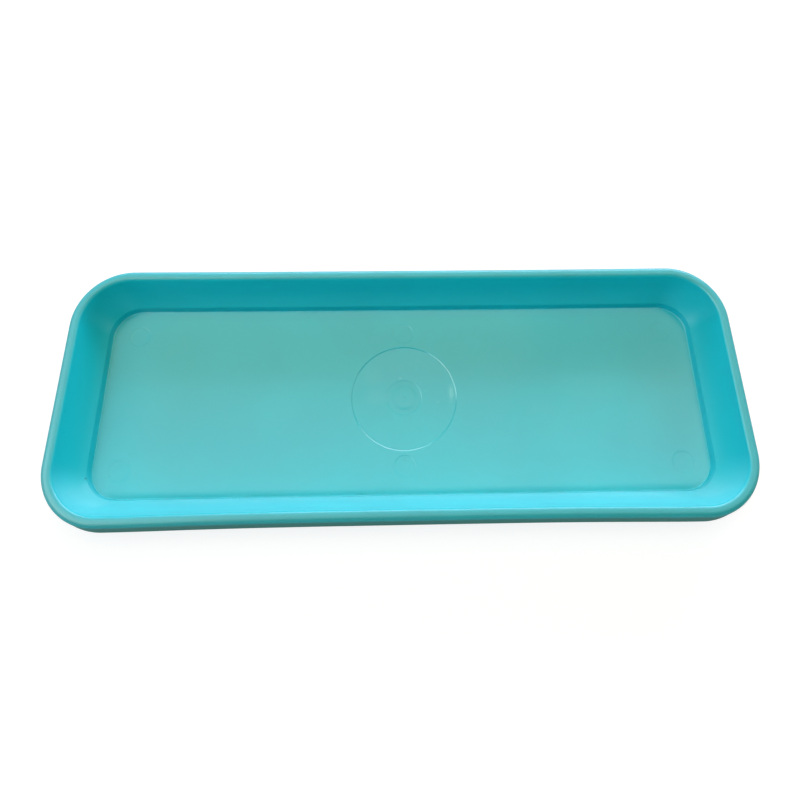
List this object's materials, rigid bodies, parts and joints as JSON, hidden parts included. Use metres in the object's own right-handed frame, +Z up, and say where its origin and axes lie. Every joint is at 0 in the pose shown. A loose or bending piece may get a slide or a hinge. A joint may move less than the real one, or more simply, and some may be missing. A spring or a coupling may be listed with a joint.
{
  "type": "plant saucer",
  "caption": "Long shallow rectangular plant saucer with rounded corners, a stepped flat floor, coved leaning walls and a turned-down rim with an outer skirt.",
  "frame": {"origin": "middle of the floor's underside, on the surface the saucer stands on", "axes": "+X along the length, +Z up from the resting surface to the rim, -Y towards the front long side"},
  "size_m": [0.4998, 0.1888, 0.0352],
  "materials": {
    "turquoise_plastic": "turquoise moulded polypropylene, soft gloss"
  },
  "bodies": {
    "root": {"saucer": "turquoise_plastic"}
  },
  "joints": []
}
